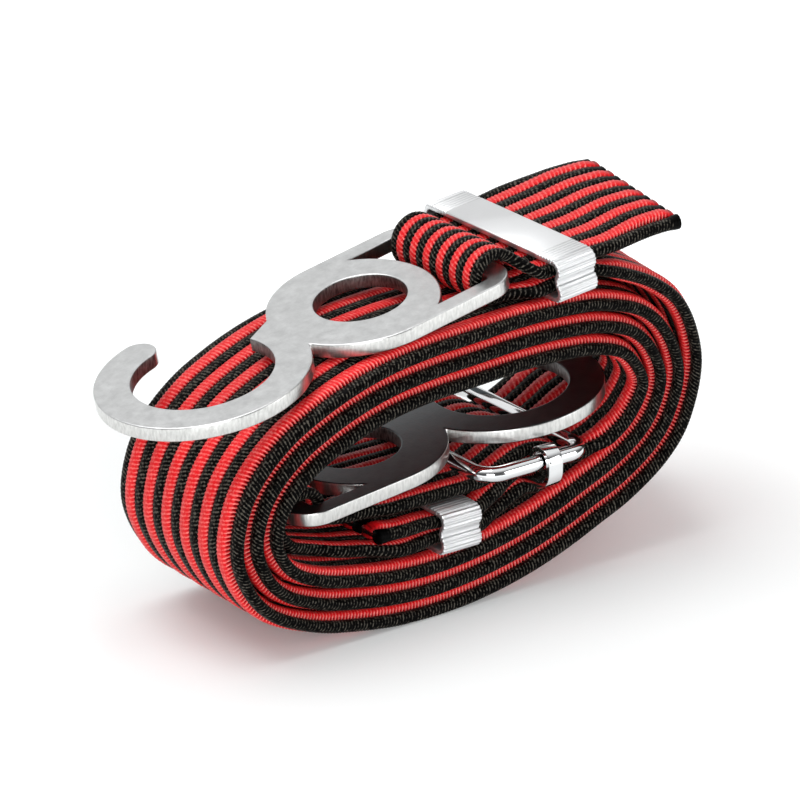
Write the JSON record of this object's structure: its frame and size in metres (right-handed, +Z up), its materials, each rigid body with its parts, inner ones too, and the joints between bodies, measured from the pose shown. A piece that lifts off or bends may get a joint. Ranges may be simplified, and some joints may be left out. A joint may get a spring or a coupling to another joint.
{
  "type": "bungee cord",
  "caption": "Flat striped elastic strap with stamped steel hooks, pressed clips and a wire slide for length, wound into an oval coil that stands on its underside.",
  "frame": {"origin": "on the floor under the coil, in the middle of the strap's width, where the coil's underside rests", "axes": "+X along the coil's long axis, away from the upper hook; +Y along the strap's width to the rear; +Z up"},
  "size_m": [0.0844, 0.0302, 0.0432],
  "materials": {
    "webbing": "woven red and black ribs",
    "hook_steel": "satin plated",
    "clip_metal": "bright extruded",
    "slide_metal": "polished"
  },
  "bodies": {
    "strap": {"strap_coil": "webbing", "strap_outer_end": "webbing", "strap_inner_end": "webbing", "upper_clip": "clip_metal", "inner_clip": "clip_metal", "slide_centre_bar": "slide_metal"},
    "upper_hook": {"upper_hook": "hook_steel"},
    "inner_hook": {"inner_hook": "hook_steel"},
    "slide_frame": {"slide_frame": "slide_metal"}
  },
  "joints": [
    {"name": "upper_hook_swing", "type": "hinge", "parent": "strap", "child": "upper_hook", "pos_m": [0.0081, 0, 0.03959], "axis": [0, 1, 0], "range_deg": [0, 95]},
    {"name": "inner_hook_swing", "type": "hinge", "parent": "strap", "child": "inner_hook", "pos_m": [-0.0208, 0, 0.0163], "axis": [0, -1, 0], "range_deg": [0, 2]},
    {"name": "slide_travel", "type": "slide", "parent": "strap", "child": "slide_frame", "axis": [1, 0, 0], "range_m": [0, 0.0008]}
  ]
}
